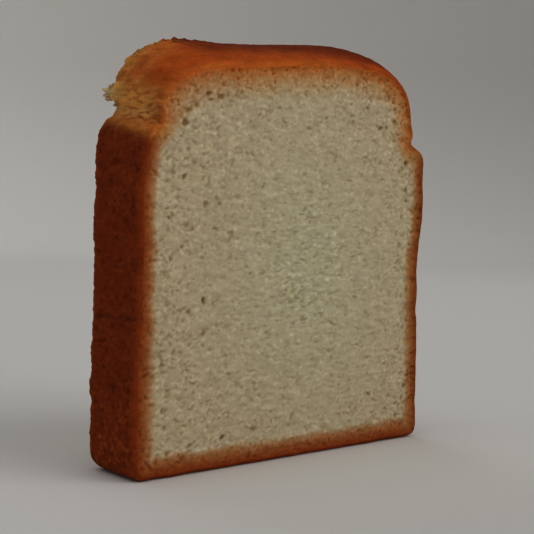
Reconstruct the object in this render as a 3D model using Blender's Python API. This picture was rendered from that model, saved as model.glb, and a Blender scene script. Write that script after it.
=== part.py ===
"""A thick slice of white tin loaf, standing on its bottom crust.

The slice is one solid in metres, +Z up, with its origin in the middle of the foot that it stands on. Its front cut
faces -Y and its back cut faces +Y. A loft of sections runs from one cut to the other. Each section is the loaf's
outline there: the flat foot, the walls that the tin held, the lip where the dough rose out of the tin, the torn
neck above it, and the crown. The slice is cut from the side of the loaf's hump, so the neck and the crown climb
from the front cut to the back cut.
"""

import bmesh
import bpy
from mathutils import Vector, geometry, noise

MM = 0.001

# Driving sizes.
THICKNESS = 24.8 * MM

# Named places up each side of the slice, from the foot to the crown. Each has how far it is from the middle and how
# high it is, in millimetres: first at the front cut, then at the back cut.
LEFT = {
    "foot": ((57.0, 0.0), (55.5, 0.0)),
    "heel": ((61.0, 4.5), (61.2, 6.5)),
    "wall": ((61.3, 30.0), (60.3, 33.0)),
    "waist": ((59.8, 66.0), (60.4, 61.0)),
    "hip": ((60.3, 84.0), (60.9, 80.0)),
    "lip": ((57.6, 97.6), (57.6, 103.8)),
    "neck": ((53.2, 103.4), (54.2, 108.6)),
    "cheek": ((54.4, 107.0), (55.0, 113.0)),
    "shoulder": ((47.6, 115.4), (49.2, 123.8)),
    "brow": ((37.5, 119.8), (38.4, 130.2)),
    "dip": ((14.0, 123.9), (15.0, 132.9)),
}
RIGHT = {
    "foot": ((55.4, 0.0), (54.6, 0.0)),
    "heel": ((59.8, 5.0), (60.0, 6.5)),
    "wall": ((59.5, 31.0), (59.5, 34.0)),
    "waist": ((59.1, 69.0), (59.3, 71.0)),
    "hip": ((61.4, 86.0), (61.4, 88.0)),
    "lip": ((59.4, 100.4), (59.4, 105.2)),
    "neck": ((55.3, 104.0), (55.8, 109.6)),
    "cheek": ((54.9, 108.4), (57.8, 116.2)),
    "shoulder": ((50.4, 120.3), (54.8, 130.2)),
    "brow": ((38.8, 126.9), (44.0, 136.6)),
    "crest": ((22.0, 128.0), (24.0, 137.2)),
}
CROWN = ("shoulder", "brow", "dip", "crest")
CORNER = ("foot", "heel")
CROWN_EASE = 1.9
CORNER_EASE = 2.4

# Spacing of the mesh: fine where the crust is torn, plain elsewhere. An edge sharper than SHARP, in radians, stays
# crisp.
COARSE = 2.8 * MM
FINE = 0.85 * MM
FINE_SPANS = ("lip", "neck", "cheek")
CORNER_STEPS = 5
SECTION_GAP = 1.25 * MM
SHARP = 0.5

# Relief of the crust, measured outwards. It fades towards the foot, which stays flat.
CALM_FOOT = 8.0 * MM
LUMP_HEIGHT, LUMP_WIDTH = 0.35 * MM, 14.0 * MM
RIPPLE_HEIGHT, RIPPLE_WIDTH, RIPPLE_LENGTH = 0.3 * MM, 3.4 * MM, 20.0 * MM
CREASE_DEPTH, CREASE_WIDTH, CREASE_Z = 0.6 * MM, 1.6 * MM, 45.6 * MM
CREASE_WANDER, CREASE_WAVE = 2.4 * MM, 7.0 * MM
TEAR_DEPTH, TEAR_GAP, TEAR_LENGTH = 1.3 * MM, 2.3 * MM, 9.0 * MM
TEAR_BELOW, TEAR_ABOVE = 3.0 * MM, 11.0 * MM
CRAG_HEIGHT, CRAG_WIDTH = 1.5 * MM, 3.0 * MM
CRAG_PLACE = (-55.5 * MM, 10.5 * MM, 112.6 * MM)

# Finish, as linear colours.
CRUST_COLOUR = (0.165, 0.036, 0.010, 1.0)
CRUMB_COLOUR = (0.640, 0.520, 0.340, 1.0)


def share(name, depth):
    """How far a named place has gone from its front to its back size at a depth from 0 to 1."""
    if name in CROWN:
        return 1.0 - (1.0 - depth) ** CROWN_EASE
    if name in CORNER:
        return depth**CORNER_EASE
    return depth


def place(side, name, depth):
    """A named place at this depth, as (x, z) with x counted outwards."""
    front, back = (Vector(size) * MM for size in side[name])
    return front.lerp(back, share(name, depth))


def foot_corner(side, depth):
    """The quarter ellipse that rounds the foot into the wall, without the point where it meets the wall."""
    foot, heel = place(side, "foot", depth), place(side, "heel", depth)
    pull = 0.5523  # makes a Bezier span a quarter of an ellipse
    foot_pull = Vector((foot.x + pull * (heel.x - foot.x), 0.0))
    heel_pull = Vector((heel.x, heel.y * (1.0 - pull)))
    return geometry.interpolate_bezier(foot, foot_pull, heel_pull, heel, CORNER_STEPS + 1)[:-1]


def mirrored(points):
    return [Vector((-p.x, p.y)) for p in points]


def smooth_line(knots, steps):
    """Points along a smooth line through the knots, with the given number of steps from each to the next."""
    slopes = []
    for i, here in enumerate(knots):
        before, after = knots[max(i - 1, 0)], knots[min(i + 1, len(knots) - 1)]
        slopes.append((after - before) / ((here - before).length + (after - here).length))
    points = []
    for start, end, start_slope, end_slope, count in zip(knots, knots[1:], slopes, slopes[1:], steps):
        reach = (end - start).length / 3.0
        pulls = start + start_slope * reach, end - end_slope * reach
        points += geometry.interpolate_bezier(start, *pulls, end, count + 1)[:-1]
    return points + [knots[-1]]


def above_the_foot(side):
    return [name for name in side if name != "foot"]


def over_the_top(depth):
    """The named places from the left heel over the crown to the right heel, as (x, z)."""
    left = mirrored([place(LEFT, name, depth) for name in above_the_foot(LEFT)])
    right = [place(RIGHT, name, depth) for name in above_the_foot(RIGHT)]
    return left + right[::-1]


def step_counts():
    """The steps from each of those places to the next, the same at every depth. A span goes by its lower end."""
    spans = above_the_foot(LEFT) + above_the_foot(RIGHT)[-2::-1]
    knots = over_the_top(0.5)
    counts = []
    for span, start, end in zip(spans, knots, knots[1:]):
        gap = FINE if span in FINE_SPANS else COARSE
        counts.append(max(2, round((end - start).length / gap)))
    return counts


def section(depth):
    """The outline at this depth as (x, z) points, clockwise from the left foot as seen from the front."""
    upper = smooth_line(over_the_top(depth), step_counts())
    return mirrored(foot_corner(LEFT, depth)) + upper + foot_corner(RIGHT, depth)[::-1]


def outward(points, i):
    """The unit normal of the outline at point i, as (x, z)."""
    along = points[(i + 1) % len(points)] - points[i - 1]
    return Vector((-along.y, along.x)).normalized()


def hump(distance, width):
    """1 at distance 0, falling smoothly to 0 at this width."""
    within = min(abs(distance) / width, 1.0)
    return (1.0 - within * within) ** 2


def relief(x, y, z):
    """How far the crust stands out here: soft lumps, ripples of the wall, its crease, the torn neck and its crag."""
    spot = Vector((x, y, z))
    side = LEFT if x < 0.0 else RIGHT
    above_neck = z - place(side, "neck", y / THICKNESS + 0.5).y
    wall = min(max(-above_neck / TEAR_BELOW, 0.0), 1.0)
    torn = hump(above_neck, TEAR_ABOVE if above_neck > 0.0 else TEAR_BELOW)
    lump = noise.noise(spot / LUMP_WIDTH)
    ripple = noise.noise(Vector((x / RIPPLE_LENGTH, y / RIPPLE_LENGTH, z / RIPPLE_WIDTH)))
    wander = CREASE_WANDER * noise.noise(Vector((x, y, 0.0)) / CREASE_WAVE)
    crease = hump(z - CREASE_Z - wander, CREASE_WIDTH)
    tear = noise.noise(Vector((x / TEAR_LENGTH, y / TEAR_LENGTH, z / TEAR_GAP)))
    crag = hump((spot - Vector(CRAG_PLACE)).length, CRAG_WIDTH)
    soft = LUMP_HEIGHT * lump + wall * (RIPPLE_HEIGHT * ripple - CREASE_DEPTH * crease)
    return min(z / CALM_FOOT, 1.0) * soft + TEAR_DEPTH * torn * tear + CRAG_HEIGHT * crag


def crust_ring(bm, y):
    """One ring of vertices round the slice at this y, with the crust's relief."""
    points = section(y / THICKNESS + 0.5)
    ring = []
    for i, p in enumerate(points):
        stand_out = relief(p.x, y, p.y) if p.y > 0.0 else 0.0  # the foot stays flat
        moved = p + outward(points, i) * stand_out
        ring.append(bm.verts.new((moved.x, y, moved.y)))
    return ring


def make_slice():
    """The slice as one closed mesh: the crust as a loft, and a flat face at each cut."""
    bm = bmesh.new()
    gaps = round(THICKNESS / SECTION_GAP)
    rings = [crust_ring(bm, THICKNESS * (i / gaps - 0.5)) for i in range(gaps + 1)]
    for front, back in zip(rings, rings[1:]):
        for i in range(len(front)):
            bm.faces.new((front[i - 1], back[i - 1], back[i], front[i]))
    for ring in (rings[0], rings[-1]):
        cut = bm.faces.new(ring)
        cut.material_index = 1
    bmesh.ops.recalc_face_normals(bm, faces=bm.faces)
    sides = [v.co.x for v in bm.verts]
    bmesh.ops.translate(bm, verts=bm.verts, vec=(-(min(sides) + max(sides)) / 2.0, 0.0, 0.0))
    mesh = bpy.data.meshes.new("bread_slice")
    bm.to_mesh(mesh)
    bm.free()
    mesh.shade_smooth()
    mesh.set_sharp_from_angle(angle=SHARP)
    return mesh


def finish(name, colour, roughness):
    """A plain Principled material."""
    material = bpy.data.materials.new(name)
    material.use_nodes = True
    shader = material.node_tree.nodes["Principled BSDF"]
    shader.inputs["Base Color"].default_value = colour
    shader.inputs["Roughness"].default_value = roughness
    shader.inputs["Metallic"].default_value = 0.0
    return material


def main():
    for old in list(bpy.data.objects):
        bpy.data.objects.remove(old)
    bread = bpy.data.collections.new("bread")
    bpy.context.scene.collection.children.link(bread)
    bread_slice = bpy.data.objects.new("bread_slice", make_slice())
    bread_slice.data.materials.append(finish("baked_crust", CRUST_COLOUR, 0.55))
    bread_slice.data.materials.append(finish("soft_crumb", CRUMB_COLOUR, 0.95))
    bread.objects.link(bread_slice)


main()
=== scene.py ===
"""A thick slice of white tin loaf, standing on its bottom crust."""

import math

import bmesh
import bpy
import numpy as np
from mathutils import Matrix, Vector, kdtree


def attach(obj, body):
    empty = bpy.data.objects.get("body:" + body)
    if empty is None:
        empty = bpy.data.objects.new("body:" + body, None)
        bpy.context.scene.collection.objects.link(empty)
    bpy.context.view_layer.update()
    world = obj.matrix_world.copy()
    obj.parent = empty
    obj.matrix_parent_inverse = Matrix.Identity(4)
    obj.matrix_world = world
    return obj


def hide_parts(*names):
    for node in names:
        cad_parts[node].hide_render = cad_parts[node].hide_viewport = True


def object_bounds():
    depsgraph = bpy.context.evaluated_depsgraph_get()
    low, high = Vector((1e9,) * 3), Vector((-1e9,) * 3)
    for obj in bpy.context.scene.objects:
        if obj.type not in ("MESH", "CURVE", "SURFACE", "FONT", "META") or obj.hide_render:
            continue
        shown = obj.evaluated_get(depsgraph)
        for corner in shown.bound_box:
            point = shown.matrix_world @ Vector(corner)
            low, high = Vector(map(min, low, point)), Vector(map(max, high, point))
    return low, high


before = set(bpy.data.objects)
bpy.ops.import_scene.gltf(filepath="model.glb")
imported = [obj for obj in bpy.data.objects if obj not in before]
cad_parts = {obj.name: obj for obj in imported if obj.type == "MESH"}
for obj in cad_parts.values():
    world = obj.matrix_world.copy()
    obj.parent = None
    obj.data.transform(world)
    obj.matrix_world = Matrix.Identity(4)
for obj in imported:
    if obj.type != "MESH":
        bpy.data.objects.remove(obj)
solid_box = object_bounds()


# ---- The view ----
# A long lens low down, a little to the left of the slice, so that the cut face and the left wall both show.
# Its place and its nearest sight are in metres, and its turn to the right, tilt down and roll are in radians.
CAMERA_PLACE = Vector((-0.22904, -0.25624, 0.07296))
NEAREST_SIGHT = 0.01
LENS_MM, SENSOR_MM = 70.79, 36.0
TURN, TILT, ROLL = 0.72512, 0.03590, 0.02269

level = Vector((math.sin(TURN), math.cos(TURN), 0.0))
right = Vector((math.cos(TURN), -math.sin(TURN), 0.0))
forward = level * math.cos(TILT) - Vector((0.0, 0.0, math.sin(TILT)))
up = level * math.sin(TILT) + Vector((0.0, 0.0, math.cos(TILT)))
camera_right = right * math.cos(ROLL) + up * math.sin(ROLL)
camera_up = up * math.cos(ROLL) - right * math.sin(ROLL)
camera = bpy.data.objects.new("camera", bpy.data.cameras.new("camera"))
camera.data.lens = LENS_MM
camera.data.sensor_width = SENSOR_MM
camera.data.clip_start = NEAREST_SIGHT
turned = Matrix((camera_right, camera_up, -forward)).transposed().to_4x4()
camera.matrix_world = Matrix.Translation(CAMERA_PLACE) @ turned
bpy.context.scene.collection.objects.link(camera)
bpy.context.scene.camera = camera


# ---- The studio ----
# A pale matt paper floor that curves up all round into a low backdrop. The light is three large soft lamps,
# from the front, from above and from behind, and a dim even glow.
FLOOR_RADIUS, BEND_RADIUS, BACKDROP_RISE = 2.0, 0.5, 0.4
FLOOR_SIDES, BEND_STEPS = 96, 8
GLOW_STRENGTH, PICTURE_GAMMA = 0.29, 0.8
LAMPS = (
    # name; where it shines from; strength; how many degrees wide it is, which softens its shadows
    ("key", (0.55, -1.0, 0.75), 1.07, 50.0),
    ("overhead", (-0.25, -0.1, 1.2), 0.50, 60.0),
    ("rear", (0.2, 1.0, 0.4), 0.6, 50.0),
)


def linear(hex_colour):
    """An sRGB colour, such as "C8A064", as linear red, green, blue and alpha."""
    parts = [int(hex_colour[i : i + 2], 16) / 255.0 for i in (0, 2, 4)]
    return [c / 12.92 if c <= 0.04045 else ((c + 0.055) / 1.055) ** 2.4 for c in parts] + [1.0]


def add(tree, kind, inputs=None, **settings):
    """Adds one node: its settings, and for each input a value or the output that is linked into it."""
    made = tree.nodes.new(kind)
    for name, value in settings.items():
        setattr(made, name, value)
    for name, value in (inputs or {}).items():
        if isinstance(value, bpy.types.NodeSocket):
            tree.links.new(value, made.inputs[name])
        else:
            made.inputs[name].default_value = value
    return made


# Uncoated paper: pale, even and without shine.
paper = bpy.data.materials.new("matt_paper")
paper.use_nodes = True
shader = paper.node_tree.nodes["Principled BSDF"]
shader.inputs["Base Color"].default_value = linear("DEDCD8")
shader.inputs["Roughness"].default_value = 0.95
shader.inputs["Specular IOR Level"].default_value = 0.1
bpy.ops.object.select_all(action="DESELECT")
bpy.ops.mesh.primitive_circle_add(
    vertices=FLOOR_SIDES, radius=FLOOR_RADIUS, fill_type="NOTHING", location=(0.0, 0.0, 0.0)
)
floor = bpy.context.object
floor.name = "floor"
bpy.ops.object.mode_set(mode="EDIT")
bpy.ops.mesh.select_mode(type="EDGE")
bpy.ops.mesh.select_all(action="SELECT")
for step in range(1, BEND_STEPS + 1):
    bend = [math.radians(90.0 * i / BEND_STEPS) for i in (step - 1, step)]
    before, after = (FLOOR_RADIUS + BEND_RADIUS * math.sin(angle) for angle in bend)
    rise = BEND_RADIUS * (math.cos(bend[0]) - math.cos(bend[1]))
    bpy.ops.mesh.extrude_region_move(TRANSFORM_OT_translate={"value": (0.0, 0.0, rise)})
    bpy.ops.transform.resize(value=(after / before, after / before, 1.0), center_override=(0.0, 0.0, 0.0))
bpy.ops.mesh.extrude_region_move(TRANSFORM_OT_translate={"value": (0.0, 0.0, BACKDROP_RISE)})
floor_mesh = bmesh.from_edit_mesh(floor.data)
for edge in floor_mesh.edges:
    edge.select_set(max(v.co.z for v in edge.verts) < 1e-6)
bmesh.update_edit_mesh(floor.data)
bpy.ops.mesh.edge_face_add()
bpy.ops.mesh.select_all(action="SELECT")
bpy.ops.mesh.normals_make_consistent(inside=True)
bpy.ops.object.mode_set(mode="OBJECT")
floor.data.shade_smooth()
floor.data.materials.append(paper)

world = bpy.data.worlds.new("studio")
world.use_nodes = True
glow = world.node_tree.nodes["Background"]
glow.inputs["Color"].default_value = linear("EDEDF0")
glow.inputs["Strength"].default_value = GLOW_STRENGTH
bpy.context.scene.world = world
bpy.context.scene.view_settings.view_transform = "Standard"
bpy.context.scene.view_settings.gamma = PICTURE_GAMMA

for name, place, strength, spread in LAMPS:
    lamp = bpy.data.lights.new(name, "SUN")
    lamp.energy = strength
    lamp.angle = math.radians(spread)
    light = bpy.data.objects.new(name, lamp)
    aim = (-Vector(place)).to_track_quat("-Z", "Y")
    light.matrix_world = Matrix.Translation(place) @ aim.to_matrix().to_4x4()
    bpy.context.scene.collection.objects.link(light)


# ---- The slice, as it was cut ----
# One slice of bread: the baked skin on the outside, and open crumb on both cuts. The solid's mesh is merged
# and rounded, then remeshed finely enough to carry the pores and the cracks of the crust.
MM = 0.001
GRAIN = 0.42 * MM
HALF_THICKNESS = 12.4 * MM
CUT_NORMAL = 0.99
OUTLINE_GAP = 0.15 * MM

bpy.ops.object.select_all(action="DESELECT")
body = bpy.data.objects.new("slice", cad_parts["bread_slice"].data.copy())
bpy.context.scene.collection.objects.link(body)
bpy.context.view_layer.objects.active = body
body.select_set(True)
body.data.materials.clear()
for name in ("sharp_edge", "sharp_face", "custom_normal"):
    body.data.attributes.remove(body.data.attributes[name])
bpy.ops.object.mode_set(mode="EDIT")
bpy.ops.mesh.select_all(action="SELECT")
bpy.ops.mesh.remove_doubles(threshold=1e-6)
bpy.ops.mesh.dissolve_limited(angle_limit=0.001)
bpy.ops.mesh.select_all(action="SELECT")
bpy.ops.mesh.tris_convert_to_quads(face_threshold=0.7, shape_threshold=1.2)
shape = bmesh.from_edit_mesh(body.data)
crease = shape.edges.layers.float.new("crease_edge")
for edge in shape.edges:
    cuts = [abs(face.normal.y) > CUT_NORMAL for face in edge.link_faces]
    edge[crease] = 1.0 if True in cuts and False in cuts else 0.0
bmesh.update_edit_mesh(body.data)
bpy.ops.object.mode_set(mode="OBJECT")


def apply_modifier(piece, kind, **settings):
    """Adds one modifier to the piece and applies it."""
    modifier = piece.modifiers.new("step", kind)
    for name, value in settings.items():
        setattr(modifier, name, value)
    bpy.context.view_layer.objects.active = piece
    bpy.ops.object.modifier_apply(modifier=modifier.name)


apply_modifier(body, "SUBSURF", levels=2, render_levels=2)

# The outline of each cut: points along it, OUTLINE_GAP apart, and which way is out at each.
outline = {"front": [], "back": []}
shape = bmesh.new()
shape.from_mesh(body.data)
for edge in shape.edges:
    cuts = [abs(face.normal.y) > CUT_NORMAL for face in edge.link_faces]
    if True in cuts and False in cuts:
        a, b = (v.co for v in edge.verts)
        out = edge.link_faces[cuts.index(False)].normal
        steps = max(1, math.ceil((a - b).length / OUTLINE_GAP))
        for i in range(steps):
            spot = a.lerp(b, i / steps)
            outline["front" if spot.y < 0.0 else "back"].append(((spot.x, 0.0, spot.z), (out.x, 0.0, out.z)))
shape.free()
apply_modifier(body, "REMESH", mode="VOXEL", voxel_size=GRAIN, adaptivity=0.0)

# Between the lip and the crown the solid's tears are softened, because finer ones are pressed in below.
NECK_LOW, NECK_HIGH = 98.0 * MM, 122.0 * MM
NECK_INNER, NECK_DEEP = 46.0 * MM, 11.3 * MM
NECK_PASSES = 14
bpy.ops.object.mode_set(mode="EDIT")
bpy.ops.mesh.select_mode(type="VERT")
bpy.ops.mesh.select_all(action="DESELECT")
shape = bmesh.from_edit_mesh(body.data)
for vert in shape.verts:
    across, deep, high = vert.co
    vert.select_set(NECK_LOW < high < NECK_HIGH and abs(across) > NECK_INNER and abs(deep) < NECK_DEEP)
shape.select_flush_mode()
bmesh.update_edit_mesh(body.data)
bpy.ops.mesh.vertices_smooth(factor=0.5, repeat=NECK_PASSES)
bpy.ops.object.mode_set(mode="OBJECT")

# Each point's place and normal, and whether it lies on a cut or on the crust between them.
NEAR_PLANE = 0.03 * MM
FACING_CUT = 0.8
count = len(body.data.vertices)
spots = np.empty(count * 3, np.float32)
body.data.vertices.foreach_get("co", spots)
spots = spots.reshape(-1, 3).astype(float)
facing = np.empty(count * 3, np.float32)
body.data.vertices.foreach_get("normal", facing)
facing = facing.reshape(-1, 3).astype(float)
x, y, z = spots.T
on_front = (y < -HALF_THICKNESS + NEAR_PLANE) & (facing[:, 1] < -FACING_CUT)
on_back = (y > HALF_THICKNESS - NEAR_PLANE) & (facing[:, 1] > FACING_CUT)
on_wall = ~(on_front | on_back)
side = np.where(y < 0.0, -1.0, 1.0)

# How far each point of a cut is from the crust's outside, and which way is out there. On the wall, how far it
# is from the nearer cut.
from_crust = np.zeros(count)
from_cut = np.where(on_wall, np.maximum(HALF_THICKNESS - np.abs(y), 0.0), 0.0)
out = facing * (1.0, 0.0, 1.0)
for cut, where in (("front", on_front), ("back", on_back)):
    edge_tree = kdtree.KDTree(len(outline[cut]))
    for i, (spot, _) in enumerate(outline[cut]):
        edge_tree.insert(spot, i)
    edge_tree.balance()
    for i in np.flatnonzero(where):
        _, nearest, from_crust[i] = edge_tree.find((x[i], 0.0, z[i]))
        out[i] = outline[cut][nearest][1]
out /= np.maximum(np.linalg.norm(out, axis=1), 1e-6)[:, None]


def smooth(low, high, value):
    """0 below low, 1 above high, and an S-curve between them. Low and high may be the other way round."""
    t = np.clip((value - low) / (high - low), 0.0, 1.0)
    return t * t * (3.0 - 2.0 * t)


def rough(where, width, seed):
    """Smooth random relief, about -1 to 1, whose bumps have this width in millimetres along x, y and z."""
    dice = np.random.default_rng(seed)
    shuffle = dice.permutation(256)
    slopes = dice.normal(size=(256, 3))
    slopes /= np.linalg.norm(slopes, axis=1)[:, None]
    scaled = where / (np.array(width) * MM)
    cell = np.floor(scaled).astype(int)
    within = scaled - cell
    ease = within**3 * (within * (within * 6.0 - 15.0) + 10.0)
    total = np.zeros(len(where))
    for corner in np.ndindex(2, 2, 2):
        at = cell + corner
        key = shuffle[(shuffle[(shuffle[at[:, 0] & 255] + at[:, 1]) & 255] + at[:, 2]) & 255]
        weight = np.prod(np.where(corner, ease, 1.0 - ease), axis=1)
        total += weight * (slopes[key] * (within - corner)).sum(axis=1)
    return total * 1.6  # brings its heights to about -1 to 1


# The pores of the crumb, cut open. Each cut has its own. They are drawn as depth maps of 0.2 mm cells, and
# read at each point a little askew, so that no pore is a clean oval.
CELL = 0.2 * MM
LEFT_SIDE = -62.0 * MM
COLUMNS, ROWS = 620, 692


def draw_pores(depth_map, pores):
    """Presses pores into a depth map. Each is x, z, half width, half height, tilt and depth."""
    for px, pz, wide, high, tilt, depth in pores:
        reach = max(wide, high)
        i0, i1 = (max(int((px - LEFT_SIDE + way * reach) / CELL), 0) for way in (-1, 1))
        j0, j1 = (max(int((pz + way * reach) / CELL), 0) for way in (-1, 1))
        i, j = np.meshgrid(np.arange(i0, i1 + 2), np.arange(j0, j1 + 2), indexing="ij")
        i, j = np.clip(i, 0, COLUMNS - 1), np.clip(j, 0, ROWS - 1)
        dx, dz = i * CELL + LEFT_SIDE - px, j * CELL - pz
        along = dx * math.cos(tilt) + dz * math.sin(tilt)
        across = dz * math.cos(tilt) - dx * math.sin(tilt)
        within = np.clip(1.0 - (along / wide) ** 2 - (across / high) ** 2, 0.0, 1.0)
        depth_map[i, j] = np.maximum(depth_map[i, j], depth * within)


def read_map(depth_map, px, pz):
    """The map's value at these places, between its cells."""
    u, v = (px - LEFT_SIDE) / CELL, pz / CELL
    i, j = np.clip(u.astype(int), 0, COLUMNS - 2), np.clip(v.astype(int), 0, ROWS - 2)
    a, b = np.clip(u - i, 0.0, 1.0), np.clip(v - j, 0.0, 1.0)
    low = depth_map[i, j] * (1.0 - a) + depth_map[i + 1, j] * a
    high = depth_map[i, j + 1] * (1.0 - a) + depth_map[i + 1, j + 1] * a
    return low * (1.0 - b) + high * b


# Larger holes that show on the front cut: x, z, half width and half height in millimetres.
SHOWING_HOLES = (
    (38.0, 108.4, 1.5, 0.9),
    (41.0, 108.6, 0.9, 0.8),
    (44.5, 110.9, 1.0, 0.7),
    (31.3, 114.5, 1.1, 0.7),
    (23.5, 115.4, 0.9, 0.6),
    (12.0, 109.5, 1.0, 0.7),
    (51.4, 96.9, 1.0, 1.2),
    (30.9, 98.1, 0.9, 0.6),
    (51.8, 87.8, 0.9, 1.0),
    (53.0, 19.0, 0.9, 0.9),
    (52.1, 14.5, 1.2, 0.8),
    (49.0, 13.0, 1.0, 0.7),
    (43.9, 11.4, 1.1, 0.7),
    (35.5, 17.4, 1.1, 0.7),
    (38.1, 15.4, 0.9, 0.7),
    (-31.9, 112.2, 2.0, 0.9),
    (-44.1, 107.2, 1.6, 0.9),
    (-45.1, 103.1, 1.5, 1.2),
    (-45.1, 87.8, 1.0, 0.9),
    (-37.1, 80.0, 1.1, 0.8),
    (-31.8, 80.5, 0.9, 0.7),
    (-42.1, 72.6, 1.0, 0.8),
    (-45.6, 67.3, 0.9, 0.8),
    (-37.1, 51.4, 0.9, 1.2),
    (-33.3, 50.4, 0.9, 0.7),
    (-42.6, 48.0, 0.9, 0.8),
    (-36.9, 41.3, 1.0, 0.7),
    (-41.6, 8.4, 1.1, 0.7),
    (-29.1, 9.7, 1.0, 0.7),
)

# The rest follow a rule: pores all over, smaller and shallower in the middle, and rounder ones in a band
# inside the crust. How deep a showing hole is goes by its half height.
PORES, RIM_PORES = 420, 170
HOLE_TILT, HOLE_DEPTH, RIM_PORE_DEPTH = 0.3, 0.66, 0.42
askew = spots + 0.65 * MM * np.stack([rough(spots, (1.7, 1.7, 1.4), seed) for seed in (13, 14, 15)], axis=1)
holes = np.zeros(count)
for cut, where, seed in (("front", on_front, 11), ("back", on_back, 12)):
    dice = np.random.default_rng(seed)
    made = np.zeros((COLUMNS, ROWS))
    pores = []
    for _ in range(PORES):
        px, pz = dice.uniform(-59.0, 59.0), dice.uniform(3.0, 135.0)
        middle = math.exp(-(((px - 6.0) / 36.0) ** 2) - ((pz - 60.0) / 42.0) ** 2)
        half = 0.62 * math.exp(dice.normal(0.0, 0.25)) * (1.0 - 0.35 * middle)
        deep = 0.30 * half * (1.0 - 0.5 * middle)
        wide = half * dice.uniform(1.2, 2.2)
        tilt = dice.normal(0.1, 0.3)
        pores.append((px * MM, pz * MM, wide * MM, half * MM, tilt, deep * MM))
    for _ in range(RIM_PORES):
        (px, _, pz), (out_x, _, out_z) = outline[cut][dice.integers(len(outline[cut]))]
        if pz > 2.0 * MM:
            inward = dice.uniform(6.5, 12.0) * MM
            half = dice.uniform(0.45, 0.8) * MM
            wide = half * dice.uniform(1.1, 1.7)
            tilt = dice.normal(0.0, 0.6)
            px, pz = px - out_x * inward, pz - out_z * inward
            pores.append((px, pz, wide, half, tilt, RIM_PORE_DEPTH * half))
    if cut == "front":
        for px, pz, wide, half in SHOWING_HOLES:
            pores.append((px * MM, pz * MM, wide * MM, half * MM, HOLE_TILT, HOLE_DEPTH * half * MM))
    draw_pores(made, pores)
    holes[where] = read_map(made, askew[where, 0], askew[where, 2])

# Between the holes the crumb is a mesh of fine cells, torn open by the knife: round ones towards the crust,
# and thin level ones in the middle, in clusters.
centred = np.exp(-(((x / MM - 6.0) / 38.0) ** 2) - ((z / MM - 60.0) / 44.0) ** 2)
round_cells = rough(askew, (1.25, 1.4, 0.95), 17)
level_cells = rough(askew, (2.2, 1.4, 0.8), 18)
cells = round_cells * (1.0 - centred) + level_cells * centred
clusters = rough(spots, (6.5, 6.0, 3.6), 19)
strands = rough(askew, (4.4, 2.5, 1.0), 20)
open_cells = smooth(-0.12, -0.85, cells + 0.30 * clusters) * (1.0 - 0.1 * centred)
at_rim = smooth(0.3 * MM, 2.2 * MM, from_crust)
swell = rough(spots, (15.0, 50.0, 9.0), 21)
soft = rough(askew, (3.6, 3.0, 2.2), 22)
mesh_depth = 0.46 * open_cells + 0.24 * (strands + 1.0) + 0.30 * (soft + 1.0) + 0.12 * (swell + 1.0)
cut_depth = at_rim * (holes + mesh_depth * MM)

# The crust's relief. It is lumpy and streaked on the walls, which took the tin's shape. Creases run level
# where the dough folded. Above the lip it is torn into layered flakes, most on the left, and it is smoother
# over the top.
CREASES = (
    # side, height, from and to along the wall, depth, half width
    (-1.0, 46.4, -11.0, 12.4, 0.24, 0.45),
    (-1.0, 39.2, 2.0, 12.4, 0.20, 0.5),
    (-1.0, 26.3, -10.0, 2.0, 0.22, 0.5),
    (1.0, 52.0, -12.0, 9.0, 0.35, 0.6),
    (1.0, 30.5, -6.0, 12.4, 0.20, 0.5),
)
LUMPS = (
    # side, along the wall, height, stand-out, half width
    (-1.0, 11.5, 26.0, 0.70, 3.2),
    (-1.0, 11.5, 30.4, -0.35, 1.4),
    (-1.0, 11.5, 36.0, 0.30, 2.6),
    (-1.0, 11.5, 42.0, 0.30, 2.4),
    (-1.0, 11.5, 84.8, -0.35, 1.2),
    (-1.0, 11.5, 88.0, 0.30, 1.6),
    (-1.0, 11.5, 92.5, 0.30, 2.0),
    (-1.0, 11.0, 70.0, 0.20, 2.6),
    (1.0, 6.0, 60.0, 0.35, 4.0),
    (1.0, -3.0, 24.0, 0.30, 5.0),
)
FURROWS = (
    # height above the crest, depth, half width
    (2.1, 0.42, 0.38),
    (3.8, 0.30, 0.32),
    (6.1, 0.30, 0.34),
    (8.3, 0.38, 0.36),
    (-1.4, 0.24, 0.4),
)
CREST_FRONT, CREST_CLIMB = 100.2 * MM, 6.2 * MM
crest_height = CREST_FRONT + CREST_CLIMB * (y / HALF_THICKNESS + 1.0) / 2.0
above_crest = z - crest_height
crown = smooth(-1.5 * MM, 2.5 * MM, above_crest + 0.8 * MM * rough(spots, (5.0, 5.0, 5.0), 35))
leftness = smooth(-18.0 * MM, -46.0 * MM, x)
wall_calm = smooth(0.0, 8.0 * MM, z)
at_cut = 0.25 + 0.75 * smooth(0.3 * MM, 2.4 * MM, from_cut)
back_left = smooth(6.5, 11.0, y / MM) * (x < 0.0)
at_cut = np.maximum(at_cut, 0.9 * back_left)

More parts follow.
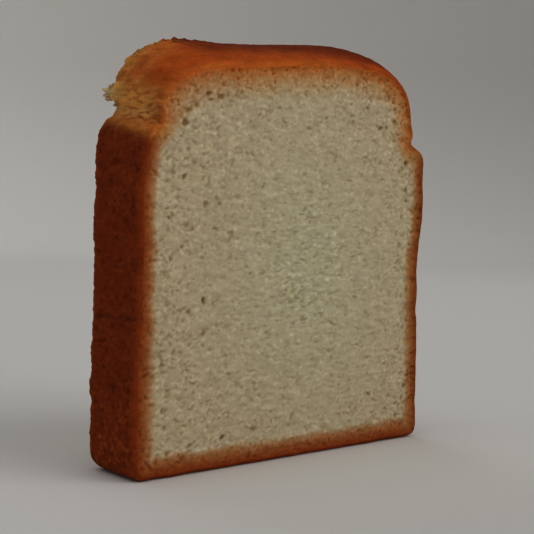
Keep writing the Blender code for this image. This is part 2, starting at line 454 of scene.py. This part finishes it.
streaks = rough(spots, (13.0, 8.0, 1.4), 31)
lumpy = rough(spots, (4.6, 4.6, 2.8), 32)
grit = rough(spots, (1.5, 1.5, 1.1), 33)
pitted = rough(spots, (1.9, 1.9, 1.3), 37)
wall_relief = 0.10 * streaks + 0.20 * lumpy + 0.15 * grit - 0.35 * smooth(0.2, 0.8, pitted)
ragged = 0.30 * rough(spots, (3.0, 3.0, 2.4), 38) + 0.20 * rough(spots, (1.6, 1.6, 1.2), 39)
wall_relief += back_left * ragged
wander = 0.6 * MM * rough(spots * (1.0, 1.0, 0.0), (6.0, 6.0, 6.0), 36)
folded = np.zeros(count)
for way, height, start, end, depth, half in CREASES:
    ends = smooth(start - 1.5, start + 1.5, y / MM) * smooth(end + 1.5, end - 1.5, y / MM)
    across = (z + wander) / MM - height
    fold = ends * np.exp(-((across / half) ** 2)) * (np.sign(x) == way)
    wall_relief -= depth * fold
    folded = np.maximum(folded, fold * depth / 0.4)
for way, along, height, stand, half in LUMPS:
    gap = ((y / MM - along) ** 2 + (z / MM - height) ** 2) / half**2
    wall_relief += stand * np.exp(-gap) * (np.sign(x) == way)

torn_side = np.maximum(leftness, 0.75 * smooth(44.0 * MM, 55.0 * MM, x))
torn = crown * torn_side * smooth(19.0 * MM, 6.0 * MM, above_crest)
askew = spots + 0.6 * MM * np.stack([rough(spots, (4.0, 4.0, 4.0), seed) for seed in (51, 52, 53)], axis=1)
fibres = rough(askew, (6.5, 6.5, 1.1), 56)
hairs = rough(askew, (3.0, 3.0, 0.65), 58)
wrinkle = rough(askew, (3.6, 2.6, 2.6), 57)
torn_relief = 0.26 * fibres + 0.20 * hairs
furrow_shade = 0.0
bend = 0.7 * rough(spots, (6.0, 6.0, 20.0), 55)
towards_front = 0.35 + 0.65 * smooth(7.0, -2.0, y / MM)
for number, (rise, depth, half) in enumerate(FURROWS):
    broken = towards_front * smooth(-0.1, 0.25, rough(spots, (3.4, 3.4, 5.0), 70 + number))
    cut_in = broken * np.exp(-(((above_crest / MM + bend - rise) / half) ** 2))
    torn_relief -= depth * cut_in
    furrow_shade = np.maximum(furrow_shade, cut_in * torn)
crown_relief = 0.10 * lumpy + 0.10 * grit + 0.10 * wrinkle
frayed = smooth(2.0, 10.0, y / MM) * smooth(-18.0, -34.0, x / MM)
crown_relief += frayed * (0.75 * rough(spots, (3.0, 3.0, 3.0), 46) + 0.75 * rough(spots, (1.4, 1.4, 1.4), 47))
skin_relief = wall_relief * (1.0 - crown) + crown * (crown_relief * (1.0 - torn) + torn_relief * torn)
skin_relief = skin_relief * wall_calm * at_cut * MM

# The knife leaves the edges of the cuts soft. They are rounder at the foot, which is pressed in a little.
EDGE = 1.7 * MM
FOOT_EDGE = 2.8 * MM
edge_wave = 1.0 + 0.3 * rough(spots, (5.0, 5.0, 5.0), 61)
edge = EDGE * edge_wave + (FOOT_EDGE - EDGE) * smooth(5.0 * MM, 1.0 * MM, z)
on_cut = on_front | on_back
reach = np.where(on_cut, from_crust, from_cut)
angle = math.pi / 4.0 * np.clip(1.0 - reach / edge, 0.0, 1.0)
slide = np.where(reach < edge, edge * (1.0 - np.sin(angle)) - reach, 0.0)
drop = edge * (1.0 - np.cos(angle))

moved = spots.copy()
moved[:, 1] -= side * np.where(on_cut, cut_depth + drop, slide)
moved -= out * np.where(on_cut, slide, drop)[:, None]
moved += np.where(on_wall, skin_relief, 0.0)[:, None] * facing

# Where the slice swells or sinks softly besides. Those that are centred at the foot move it too. The rest
# leave it.
AT_FOOT = 5.0
SWELLS = (
    # middle x, y, z; half widths; how far it is pushed along x and z
    (-61.0, 12.4, 44.0, 12.0, 14.0, 22.0, -0.8, 0.0),
    (-59.0, 12.4, 95.0, 12.0, 12.0, 7.0, -1.3, 0.0),
    (-56.0, 11.0, 105.6, 8.0, 9.0, 2.6, 1.1, 0.0),
    (-55.0, 11.0, 110.5, 8.0, 8.0, 3.0, -0.6, 0.0),
    (-52.0, 10.0, 119.0, 12.0, 9.0, 7.0, -0.9, 0.2),
    (-2.0, 1.5, 132.0, 17.0, 9.0, 14.0, 0.0, -0.9),
    (50.0, -2.0, 125.0, 15.0, 20.0, 14.0, 0.9, 0.6),
    (60.0, -8.0, 30.0, 14.0, 25.0, 34.0, 0.8, 0.0),
    (59.0, -10.0, 2.0, 7.0, 25.0, 7.0, 0.9, 0.0),
    (57.5, -12.0, 0.5, 4.0, 20.0, 2.8, 1.4, 0.0),
    (60.0, -8.0, 74.0, 14.0, 25.0, 9.0, 0.9, 0.0),
    (58.5, -10.0, 98.5, 8.0, 20.0, 4.0, 1.0, 0.3),
    (-57.0, 12.4, 101.0, 8.0, 12.0, 3.5, -0.8, 0.3),
)
for mx, my, mz, wide, deep, high, push_x, push_z in SWELLS:
    gap = ((x / MM - mx) / wide) ** 2 + ((y / MM - my) / deep) ** 2 + ((z / MM - mz) / high) ** 2
    share = np.exp(-gap) * wall_calm ** (0.0 if mz < AT_FOOT else 1.0) * MM
    moved[:, 0] += push_x * share
    moved[:, 2] += push_z * share
box_low, box_high = (np.array(corner) for corner in solid_box)
moved = np.clip(moved, box_low, box_high)
body.data.vertices.foreach_set("co", moved.astype(np.float32).ravel())
body.data.update()

# What the finishes read. Browning is 1 at the crust and falls to 0 where the crumb is white: over about 6 mm at
# the left, and more slowly under the top and over the foot.
fringe = 0.9 * rough(spots, (7.0, 7.0, 7.0), 41) + 0.8 * rough(spots, (2.0, 2.0, 1.6), 42)
under_top = smooth(88.0, 118.0, z / MM)
low_left = smooth(50.0, 36.0, z / MM) * (x < 0.0)
at_right = smooth(30.0, 48.0, x / MM)
top_band = (3.4 + 4.0 * smooth(-40.0, -24.0, x / MM)) * under_top
foot_band = 1.5 * np.maximum(low_left, smooth(16.0, 5.0, z / MM))
band = 5.8 + top_band + foot_band + at_right * (1.0 - under_top) + fringe
top_left = smooth(-26.0, -38.0, x / MM) * smooth(101.0, 107.0, z / MM)
band += 2.8 * top_left
share = np.clip(from_crust / (band * MM), 0.0, 1.0)
browning = (1.0 - share ** (1.4 - 0.4 * under_top)) ** (1.0 + 0.7 * under_top - 0.35 * top_left)
by_cell = open_cells - 0.3 + 0.4 * soft + 2.0 * holes / MM
browning += (0.4 + 0.7 * under_top) * browning * (1.0 - browning) * by_cell
browning = np.where(on_wall, 1.0, np.clip(browning, 0.0, 1.0))

# The colour of the skin by place: deep red-brown on the walls and paler by the cuts, a golden crest where the
# lip was bared, torn gold at the left of the crown, orange over the top and darkest along its far side.
skin = np.tile(np.array(linear("853916")[:3]), (count, 1))


def tint(hex_colour, share):
    """Turns the skin to this colour by this share."""
    skin[:] = skin * (1.0 - share)[:, None] + np.array(linear(hex_colour)[:3]) * share[:, None]


specks = smooth(0.1, 0.7, grit + 0.5 * lumpy - 0.5 * pitted)
low_down = smooth(30.0, 6.0, z / MM)
tint("A2501F", specks * (0.35 + 0.35 * low_down))
tint("B8642A", 0.55 * low_down * smooth(0.0, 0.9, rough(spots, (2.0, 2.0, 1.8), 49) + 0.3 * grit))
# Darker in the pits pressed into the walls: the crust's dark spots, set there, with painted shade in the pits.
tint("5E2410", 0.6 * smooth(0.2, 0.8, pitted))
near_cut = smooth(3.6 * MM, 0.2 * MM, from_cut)
tint("99481E", near_cut * (0.85 + 0.3 * grit).clip(0.0, 1.0))
bared = (0.8 + 0.5 * rough(spots, (3.0, 3.0, 2.0), 43)).clip(0.0, 1.0)
crest = np.exp(-((above_crest / (2.4 * MM)) ** 2)) * bared
tint("CC8C42", 0.85 * crest)
to_left = smooth(-36.0, -46.0, x / MM)
behind = smooth(-13.0, -8.0, y / MM)
darkens = y / MM + 1.2 * rough(spots, (8.0, 8.0, 8.0), 44)
darkens += behind * (8.5 * smooth(0.0, 40.0, x / MM) + 4.0 * smooth(36.0, 52.0, x / MM))
far = smooth(-10.5, 6.0, darkens) * (1.0 - smooth(-28.0, -42.0, x / MM))
tint("BC5E24", crown * (1.0 - far))
tint("7C3615", crown * far)
tint("A04216", 0.7 * crown * smooth(12.0, 28.0, x / MM) * (0.3 + 0.7 * behind) * (1.0 - far))
gritty = (0.65 + 0.4 * grit).clip(0.0, 1.0)
tint("C87430", gritty * crown * smooth(26.0, 10.0, x / MM) * smooth(2.8 * MM, 0.2 * MM, from_cut))
tint("BA5F24", crown * to_left)
turning = y / MM + 2.0 * rough(spots, (6.0, 6.0, 4.0), 45)
tint("C9773A", crown * to_left * smooth(-5.0, 4.0, turning))
tint("C99448", crown * to_left * smooth(4.0, 11.0, turning))
patches = rough(spots, (5.0, 5.0, 4.5), 48) + 0.4 * grit
tint("D6A440", 0.75 * crown * to_left * smooth(0.0, 0.8, patches) * smooth(-4.0, 5.0, turning))
tint("A84E1A", 0.4 * crown * to_left * smooth(0.1, -0.7, patches))
tint("D0803E", 0.3 * crown * top_left * on_wall * smooth(3.2 * MM, 0.2 * MM, from_cut))
# Torn gold, with a painted highlight: stronger where the fibres stand out.
torn_gold_and_highlight = (0.85 + 0.5 * fibres + 0.4 * hairs).clip(0.0, 1.0)
tint("D99E56", torn * torn_gold_and_highlight * smooth(15.0, 9.0, above_crest / MM))
tint("F2BE78", 0.55 * torn * np.exp(-(((z / MM - 106.2) / 1.6) ** 2)))
tint("C06C30", 0.8 * torn * smooth(5.5 * MM, 0.4 * MM, from_cut) * (y < 0.0))
# Painted shade: darker orange in the hollows between the fibres.
tint("B4642A", 0.5 * torn * smooth(-0.1, -0.6, fibres + 0.5 * hairs))
# Painted shade: darker along the furrows torn into the neck.
tint("8C4219", 0.62 * np.asarray(furrow_shade) ** 1.5)
# Painted shade: darker in the level creases pressed into the walls.
tint("4A1C0C", 0.6 * folded * on_wall)
toasted = on_cut * smooth(100.0, 112.0, z / MM) * smooth(-50.0, -42.0, x / MM)
tint("CE6E2C", 0.85 * toasted)
tint("BE7642", 0.85 * toasted * (1.0 - browning))
tint("CE8042", 0.55 * top_left * on_cut)
tint("B07C54", 0.75 * top_left * on_cut * (1.0 - browning))
shoulder = 0.35 * smooth(10.0, 26.0, x / MM) + 0.25 * smooth(38.0, 50.0, x / MM)
tint("A4541F", shoulder * on_cut * smooth(100.0, 110.0, z / MM) * browning)
# Painted shade: a greyer brown along the right edge of the cuts.
right_edge_shade = 0.7 * smooth(46.0 * MM, 57.0 * MM, x) * smooth(1.0 * MM, 0.0, from_cut)
tint("9A5628", right_edge_shade * (1.0 - 0.7 * crown))
# Painted shade: a dark line along the crust's edge at the right of the cuts, where the shoulder turns away.
rim_shade = smooth(1.1 * MM, 0.2 * MM, reach) * smooth(20.0, 44.0, x / MM)
tint("6A3016", (0.4 - 0.2 * crown) * rim_shade)
# Painted shade: darker on the top of the right shoulder behind the cut, where it turns away from the light.
shaded_behind_edge = on_wall * smooth(0.3 * MM, 2.4 * MM, from_cut)
tint("84380F", 0.6 * crown * smooth(36.0, 50.0, x / MM) * shaded_behind_edge * smooth(110.0, 116.0, z / MM))
tuft = np.exp(-(((x / MM + 57.0) / 3.0) ** 2) - ((y / MM - 12.0) / 3.5) ** 2 - ((z / MM - 111.5) / 4.0) ** 2)
tint("DCC798", (1.2 * tuft * (0.8 + 0.6 * grit)).clip(0.0, 1.0))

# Painted shade for the crumb: darker in the open cells and holes, lighter on the cell walls between them. The
# crumb's finish reads it as 'pore'.
shadowed = np.clip(0.65 * open_cells + holes / (0.5 * MM), 0.0, 1.5) - 0.35 * smooth(0.05, 0.7, cells)
values = {
    "browning": browning,
    "middle": centred,
    "pore": np.where(on_wall, 0.0, shadowed),
    "torn": torn,
    "stand_out": np.clip(0.5 + skin_relief / (1.1 * MM), 0.0, 1.0),
}
for name, value in values.items():
    layer = body.data.attributes.new(name, "FLOAT", "POINT")
    layer.data.foreach_set("value", value.astype(np.float32))
layer = body.data.attributes.new("skin", "FLOAT_COLOR", "POINT")
layer.data.foreach_set("color", np.c_[skin, np.ones(count)].astype(np.float32).ravel())

leaning = np.empty(count * 3, np.float32)
body.data.vertices.foreach_get("normal", leaning)
layer = body.data.attributes.new("leaning", "FLOAT_VECTOR", "POINT")
layer.data.foreach_set("vector", leaning)

# Which faces of the skin lie on the cuts.
corners = np.empty(len(body.data.polygons) * 4, np.int32)
body.data.polygons.foreach_get("vertices", corners)
corners = corners.reshape(-1, 4)
front_face = on_front[corners].all(axis=1)
back_face = on_back[corners].all(axis=1)


# ---- Crumb ----
# White wheat crumb, a soft foam of thin-walled pores, cut by a knife. Each cut is a piece of its own. It is
# the slice's skin there, turned in at its edge and closed behind by a lid that doesn't show.
TURN_IN = 1.5 * MM
MIDDLE_HEIGHT = 62.0 * MM
CRUMB_TAPER, CRUMB_LID = 0.985, 0.93
LID_BEHIND = 0.05 * MM

# Soft white crumb: quite matt and creamy, with painted shade in its pores and towards the foot, and toasted tan
# to brown towards the crust. Its cell walls are about 0.1 mm thick. That is too fine to show, so their pattern
# is drawn 0.9 mm wide.
EDGE_CREAM, MIDDLE_CREAM = linear("D0BF9F"), linear("D0C8A8")
MOTTLE, TOAST_GRAIN, CELL_WALLS = 3.0 * MM, 1.1 * MM, 0.9 * MM
crumb = bpy.data.materials.new("soft_white_crumb")
crumb.use_nodes = True
tree = crumb.node_tree
shader = tree.nodes["Principled BSDF"]
place = add(tree, "ShaderNodeTexCoord").outputs["Object"]
level = add(tree, "ShaderNodeMapping", {"Vector": place, "Scale": (0.6, 1.0, 1.2)}).outputs["Vector"]
mottle = add(
    tree,
    "ShaderNodeTexNoise",
    {"Vector": level, "Scale": 1.0 / MOTTLE, "Detail": 4.0, "Roughness": 0.6, "Distortion": 0.6},
)
mottled = add(
    tree,
    "ShaderNodeMapRange",
    {"Value": mottle.outputs["Fac"], "From Min": 0.3, "From Max": 0.7, "To Min": 0.88, "To Max": 1.12},
)
# The pore attribute is painted shade: the cream is darkened towards CABDAB where cells and holes lie deep.
pore = add(tree, "ShaderNodeAttribute", attribute_name="pore").outputs["Fac"]
pore_shade_tone = add(tree, "ShaderNodeGamma", {"Color": linear("CABDAB"), "Gamma": pore})
middle = add(tree, "ShaderNodeAttribute", attribute_name="middle").outputs["Fac"]
cream = add(tree, "ShaderNodeMix", data_type="RGBA")
tree.links.new(middle, cream.inputs["Factor"])
cream.inputs["A"].default_value = EDGE_CREAM
cream.inputs["B"].default_value = MIDDLE_CREAM
pore_shaded = add(
    tree,
    "ShaderNodeVectorMath",
    {0: cream.outputs["Result"], 1: pore_shade_tone.outputs["Color"]},
    operation="MULTIPLY",
)
crumb_tone = add(
    tree, "ShaderNodeVectorMath", {0: pore_shaded.outputs[0], "Scale": mottled.outputs["Result"]}, operation="SCALE"
)
# Painted shade: the crumb is darkened a little towards the foot, from about 100 mm down to 10 mm.
height = add(tree, "ShaderNodeSeparateXYZ", {0: place}).outputs["Z"]
painted_foot_shade = add(
    tree,
    "ShaderNodeMapRange",
    {"Value": height, "From Min": 0.01, "From Max": 0.1, "To Min": 0.94, "To Max": 0.985},
)
crumb_tone = add(
    tree,
    "ShaderNodeVectorMath",
    {0: crumb_tone.outputs[0], "Scale": painted_foot_shade.outputs["Result"]},
    operation="SCALE",
)
browning_here = add(tree, "ShaderNodeAttribute", attribute_name="browning").outputs["Fac"]
grain = add(
    tree, "ShaderNodeTexNoise", {"Vector": place, "Scale": 1.0 / TOAST_GRAIN, "Detail": 3.0, "Roughness": 0.6}
)
uneven = add(
    tree,
    "ShaderNodeMapRange",
    {"Value": grain.outputs["Fac"], "From Min": 0.25, "From Max": 0.75, "To Min": 1.2, "To Max": 0.85},
)
browned = add(tree, "ShaderNodeMath", {0: browning_here, 1: uneven.outputs["Result"]}, operation="POWER")
skin_here = add(tree, "ShaderNodeAttribute", attribute_name="skin").outputs["Color"]
ratio = add(tree, "ShaderNodeVectorMath", {0: skin_here, 1: EDGE_CREAM[:3]}, operation="DIVIDE")
tan = add(tree, "ShaderNodeGamma", {"Color": ratio.outputs[0], "Gamma": browned.outputs[0]})
coloured = add(
    tree, "ShaderNodeVectorMath", {0: crumb_tone.outputs[0], 1: tan.outputs["Color"]}, operation="MULTIPLY"
)
crumb_bump = add(
    tree, "ShaderNodeTexNoise", {"Vector": level, "Scale": 1.0 / CELL_WALLS, "Detail": 3.0, "Roughness": 0.55}
)
bump = add(
    tree, "ShaderNodeBump", {"Height": crumb_bump.outputs["Fac"], "Strength": 0.3, "Distance": 0.2 * MM}
)
tree.links.new(coloured.outputs[0], shader.inputs["Base Color"])
tree.links.new(bump.outputs["Normal"], shader.inputs["Normal"])
shader.inputs["Roughness"].default_value = 0.95
shader.inputs["Specular IOR Level"].default_value = 0.08


def only_open_edges():
    """Selects the open edges of the piece in edit mode."""
    bpy.ops.mesh.select_all(action="DESELECT")
    bpy.ops.mesh.select_non_manifold(
        extend=False, use_wire=False, use_multi_face=False, use_non_contiguous=False, use_verts=False
    )


def finish_piece(piece):
    """Shades the piece as one skin with its neighbours, and hangs it on the slice's body."""
    normals = np.empty(len(piece.data.vertices) * 3, np.float32)
    piece.data.attributes["leaning"].data.foreach_get("vector", normals)
    piece.data.attributes.remove(piece.data.attributes["leaning"])
    piece.data.normals_split_custom_set_from_vertices(normals.reshape(-1, 3).tolist())
    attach(piece, "root")
    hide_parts("bread_slice")


def separate(name, chosen, material):
    """Takes the chosen faces of the slice's skin off as a piece of their own."""
    piece = body.copy()
    piece.data = body.data.copy()
    piece.name = piece.data.name = name
    bpy.context.scene.collection.objects.link(piece)
    skin_mesh = bmesh.new()
    skin_mesh.from_mesh(piece.data)
    skin_mesh.faces.ensure_lookup_table()
    others = [skin_mesh.faces[i] for i in np.flatnonzero(~chosen)]
    bmesh.ops.delete(skin_mesh, geom=others, context="FACES")
    for face in skin_mesh.faces:
        face.smooth = True
    skin_mesh.to_mesh(piece.data)
    skin_mesh.free()
    piece.data.materials.append(material)
    bpy.ops.object.select_all(action="DESELECT")
    piece.select_set(True)
    bpy.context.view_layer.objects.active = piece
    return piece


for name, chosen, way in (("crumb_front", front_face, -1.0), ("crumb_back", back_face, 1.0)):
    slab = separate(name, chosen, crumb)
    bpy.ops.object.mode_set(mode="EDIT")
    bpy.ops.mesh.select_mode(type="EDGE")
    only_open_edges()
    bpy.ops.mesh.extrude_region_move(TRANSFORM_OT_translate={"value": (0.0, -way * TURN_IN, 0.0)})
    bpy.ops.transform.resize(
        value=(CRUMB_TAPER, 1.0, CRUMB_TAPER), center_override=(0.0, 0.0, MIDDLE_HEIGHT)
    )
    bpy.ops.mesh.extrude_region_move()
    bpy.ops.transform.resize(
        value=(CRUMB_LID, 0.0, CRUMB_LID), center_override=(0.0, way * LID_BEHIND, MIDDLE_HEIGHT)
    )
    bpy.ops.mesh.edge_face_add()
    bpy.ops.object.mode_set(mode="OBJECT")
    finish_piece(slab)


# ---- Crust ----
# The baked skin: walls browned deep and even against the tin, a torn neck where the dough broke as it rose,
# and a golden crown. It is one ring round the slice, turned in at both cuts and closed along the inside.
CRUST_TAPER, CRUST_LID = 0.98, 0.94
LID_SPREAD = 2.0 * MM

# Baked brown crust: matt, blotched by the oven and finely flecked. In the torn neck what stands out gets a
# painted highlight and what lies deep gets painted shade. Many real flecks are under 0.5 mm, too fine to show,
# so all are drawn 1 mm wide.
BLOTCH, FLECK = 3.2 * MM, 1.0 * MM
crust = bpy.data.materials.new("baked_brown_crust")
crust.use_nodes = True
tree = crust.node_tree
shader = tree.nodes["Principled BSDF"]
place = add(tree, "ShaderNodeTexCoord").outputs["Object"]
level = add(tree, "ShaderNodeMapping", {"Vector": place, "Scale": (0.5, 0.5, 1.0)}).outputs["Vector"]
blotch = add(
    tree,
    "ShaderNodeTexNoise",
    {"Vector": level, "Scale": 1.0 / BLOTCH, "Detail": 5.0, "Roughness": 0.65, "Distortion": 0.5},
)
blotched = add(
    tree,
    "ShaderNodeMapRange",
    {"Value": blotch.outputs["Fac"], "From Min": 0.3, "From Max": 0.7, "To Min": 0.78, "To Max": 1.22},
)
fleck = add(
    tree, "ShaderNodeTexNoise", {"Vector": place, "Scale": 1.0 / FLECK, "Detail": 3.0, "Roughness": 0.7}
)
flecked = add(
    tree,
    "ShaderNodeMapRange",
    {"Value": fleck.outputs["Fac"], "From Min": 0.3, "From Max": 0.7, "To Min": 0.88, "To Max": 1.12},
)
tone = add(
    tree,
    "ShaderNodeMath",
    {0: blotched.outputs["Result"], 1: flecked.outputs["Result"]},
    operation="MULTIPLY",
)
skin_here = add(tree, "ShaderNodeAttribute", attribute_name="skin").outputs["Color"]
toned = add(tree, "ShaderNodeVectorMath", {0: skin_here, "Scale": tone.outputs[0]}, operation="SCALE")
torn_here = add(tree, "ShaderNodeAttribute", attribute_name="torn").outputs["Fac"]
stand_out = add(tree, "ShaderNodeAttribute", attribute_name="stand_out").outputs["Fac"]
# Painted shade and highlight in the torn neck: darker (7A3A17) where the relief lies deep, lighter (E2A85C)
# where it stands out.
deep = add(tree, "ShaderNodeMapRange", {"Value": stand_out, "From Min": 0.5, "From Max": 0.15, "To Max": 0.3})
deep = add(tree, "ShaderNodeMath", {0: deep.outputs["Result"], 1: torn_here}, operation="MULTIPLY")
ridge_highlight = add(
    tree, "ShaderNodeMapRange", {"Value": stand_out, "From Min": 0.6, "From Max": 1.0, "To Max": 0.8}
)
ridge_highlight = add(tree, "ShaderNodeMath", {0: ridge_highlight.outputs["Result"], 1: torn_here}, operation="MULTIPLY")
shaded_hollows = add(tree, "ShaderNodeMix", data_type="RGBA")
tree.links.new(deep.outputs[0], shaded_hollows.inputs["Factor"])
tree.links.new(toned.outputs[0], shaded_hollows.inputs["A"])
shaded_hollows.inputs["B"].default_value = linear("7A3A17")
highlit_ridges = add(tree, "ShaderNodeMix", data_type="RGBA")
tree.links.new(ridge_highlight.outputs[0], highlit_ridges.inputs["Factor"])
tree.links.new(shaded_hollows.outputs["Result"], highlit_ridges.inputs["A"])
highlit_ridges.inputs["B"].default_value = linear("E2A85C")
crust_bump = add(
    tree, "ShaderNodeTexNoise", {"Vector": place, "Scale": 1.0 / FLECK, "Detail": 4.0, "Roughness": 0.65}
)
bump = add(
    tree, "ShaderNodeBump", {"Height": crust_bump.outputs["Fac"], "Strength": 0.5, "Distance": 0.25 * MM}
)
tree.links.new(highlit_ridges.outputs["Result"], shader.inputs["Base Color"])
tree.links.new(bump.outputs["Normal"], shader.inputs["Normal"])
shader.inputs["Roughness"].default_value = 0.75
shader.inputs["Specular IOR Level"].default_value = 0.05

ring = separate("crust", ~(front_face | back_face), crust)
bpy.ops.object.mode_set(mode="EDIT")
bpy.ops.mesh.select_mode(type="EDGE")
for way in (-1.0, 1.0):
    only_open_edges()
    shape = bmesh.from_edit_mesh(ring.data)
    for edge in shape.edges:
        if edge.select and edge.verts[0].co.y * way < 0.0:
            edge.select_set(False)
    bmesh.update_edit_mesh(ring.data)
    bpy.ops.mesh.extrude_region_move(TRANSFORM_OT_translate={"value": (0.0, -way * TURN_IN, 0.0)})
    bpy.ops.transform.resize(
        value=(CRUST_TAPER, 1.0, CRUST_TAPER), center_override=(0.0, 0.0, MIDDLE_HEIGHT)
    )
    bpy.ops.mesh.extrude_region_move()
    bpy.ops.transform.resize(
        value=(CRUST_LID, 0.0, CRUST_LID), center_override=(0.0, way * LID_SPREAD, MIDDLE_HEIGHT)
    )
only_open_edges()
bpy.ops.mesh.bridge_edge_loops()
bpy.ops.object.mode_set(mode="OBJECT")
finish_piece(ring)
bpy.data.objects.remove(body)


# ---- Shreds ----
# Scraps of crust and pale crumb that were pulled out where the back cut meets the crown and the torn neck.
# Each is a rough scrap, rooted in the skin.
SHREDS = (
    # where it stands: x, y, z; where it points: x, y, z; length, width, thickness and how pale
    (-36.6, 4.8, 130.6, -1.0, 0.6, -0.35, 5.0, 1.8, 1.1, 0.0),
    (-43.0, 9.6, 127.8, -1.0, 0.5, -0.6, 1.6, 1.4, 0.9, 0.1),
    (-47.6, 10.6, 124.8, -0.7, 0.4, -1.0, 1.8, 1.3, 0.9, 0.2),
    (-54.8, 11.4, 115.6, -1.0, 0.2, -0.6, 1.2, 1.2, 0.8, 0.6),
    (-55.4, 11.6, 114.4, -1.0, 0.1, 0.3, 1.3, 1.2, 0.9, 0.8),
    (-55.8, 11.8, 113.4, -1.0, 0.0, 0.2, 1.7, 1.2, 1.0, 1.0),
    (-56.2, 11.8, 112.8, -1.0, 0.2, 0.5, 2.0, 1.0, 0.8, 1.0),
    (-56.8, 11.8, 112.8, -1.0, 0.0, 0.2, 1.9, 0.8, 0.7, 1.0),
    (-55.9, 11.8, 111.9, -1.0, 0.1, 0.0, 1.8, 1.1, 0.9, 0.9),
    (-55.6, 11.8, 110.9, -1.0, 0.2, -0.2, 1.6, 1.1, 0.9, 0.9),
    (-55.2, 11.8, 109.9, -1.0, 0.1, -0.3, 1.3, 1.0, 0.8, 0.8),
    (-54.8, 11.6, 108.8, -1.0, 0.0, -0.6, 1.0, 1.0, 0.7, 0.6),
    (56.6, 10.8, 113.6, 1.0, 0.5, 0.4, 1.2, 1.4, 0.5, 0.6),
    (56.0, 11.2, 110.8, 1.0, 0.2, -0.2, 1.1, 1.2, 0.5, 0.5),
)

# How deep a scrap is rooted, how far inside the slice's box it stays, and how far apart in the same relief each
# scrap is crumpled.
ROOTED = 0.1 * MM
INSIDE_BOX = 0.02 * MM
APART_MM = 9.0

skin_tree = kdtree.KDTree(count)
for i, spot in enumerate(moved):
    skin_tree.insert(spot, i)
skin_tree.balance()
leaning = leaning.reshape(-1, 3)
shreds = []
for number, (sx, sy, sz, ax, ay, az, length, width, thick, pale) in enumerate(SHREDS):
    root, nearest, _ = skin_tree.find((sx * MM, sy * MM, sz * MM))
    points = Vector((ax, ay, az)).normalized()
    out_here = Vector(leaning[nearest].tolist())
    width_axis = points.cross(out_here).normalized()
    face_axis = width_axis.cross(points)
    bpy.ops.object.select_all(action="DESELECT")
    bpy.ops.mesh.primitive_ico_sphere_add(subdivisions=4, radius=1.0, location=(0.0, 0.0, 0.0))
    shred = bpy.context.object
    ball = np.empty(len(shred.data.vertices) * 3, np.float32)
    shred.data.vertices.foreach_get("co", ball)
    ball = ball.reshape(-1, 3).astype(float)
    scrap = ball * (0.5 * width, 0.62 * length, 0.5 * thick) * MM
    scrap[:, 1] += 0.35 * length * MM
    crumpled = scrap + number * APART_MM * MM
    crumple = 0.5 * rough(crumpled, (0.9, 0.9, 0.9), 91) + 0.5 * rough(crumpled, (0.33, 0.33, 0.33), 92)
    scrap *= (1.0 + crumple)[:, None]
    placed = scrap @ np.array([width_axis, points, face_axis]) + np.array(root - out_here * ROOTED)
    placed = np.clip(placed, box_low + INSIDE_BOX, box_high - INSIDE_BOX)
    shred.data.vertices.foreach_set("co", placed.astype(np.float32).ravel())
    layer = shred.data.attributes.new("pale", "FLOAT", "POINT")
    layer.data.foreach_set("value", np.full(len(ball), pale, np.float32))
    shreds.append(shred)

# Dry scraps: matt, brown where they are crust and cream where crumb clings to them, with faint streaks.
STREAK = 0.8 * MM
scrap_finish = bpy.data.materials.new("dry_crust_scale")
scrap_finish.use_nodes = True
tree = scrap_finish.node_tree
shader = tree.nodes["Principled BSDF"]
place = add(tree, "ShaderNodeTexCoord").outputs["Object"]
streak = add(tree, "ShaderNodeTexNoise", {"Vector": place, "Scale": 1.0 / STREAK, "Detail": 3.0})
pale_here = add(tree, "ShaderNodeAttribute", attribute_name="pale").outputs["Fac"]
coat = add(tree, "ShaderNodeMix", data_type="RGBA")
tree.links.new(pale_here, coat.inputs["Factor"])
coat.inputs["A"].default_value = linear("8C5A28")
coat.inputs["B"].default_value = linear("D8C59A")
shade = add(tree, "ShaderNodeMapRange", {"Value": streak.outputs["Fac"], "To Min": 0.8, "To Max": 1.2})
coated = add(
    tree,
    "ShaderNodeVectorMath",
    {0: coat.outputs["Result"], "Scale": shade.outputs["Result"]},
    operation="SCALE",
)
tree.links.new(coated.outputs[0], shader.inputs["Base Color"])
shader.inputs["Roughness"].default_value = 0.8
shader.inputs["Specular IOR Level"].default_value = 0.1

bpy.ops.object.select_all(action="DESELECT")
for shred in shreds:
    shred.select_set(True)
bpy.context.view_layer.objects.active = shreds[0]
bpy.ops.object.join()
scraps = bpy.context.object
scraps.name = scraps.data.name = "shreds"
bpy.ops.object.mode_set(mode="EDIT")
bpy.ops.mesh.select_all(action="SELECT")
bpy.ops.mesh.normals_make_consistent(inside=False)
bpy.ops.object.mode_set(mode="OBJECT")
scraps.data.shade_smooth()
scraps.data.materials.append(scrap_finish)
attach(scraps, "root")
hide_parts("bread_slice")
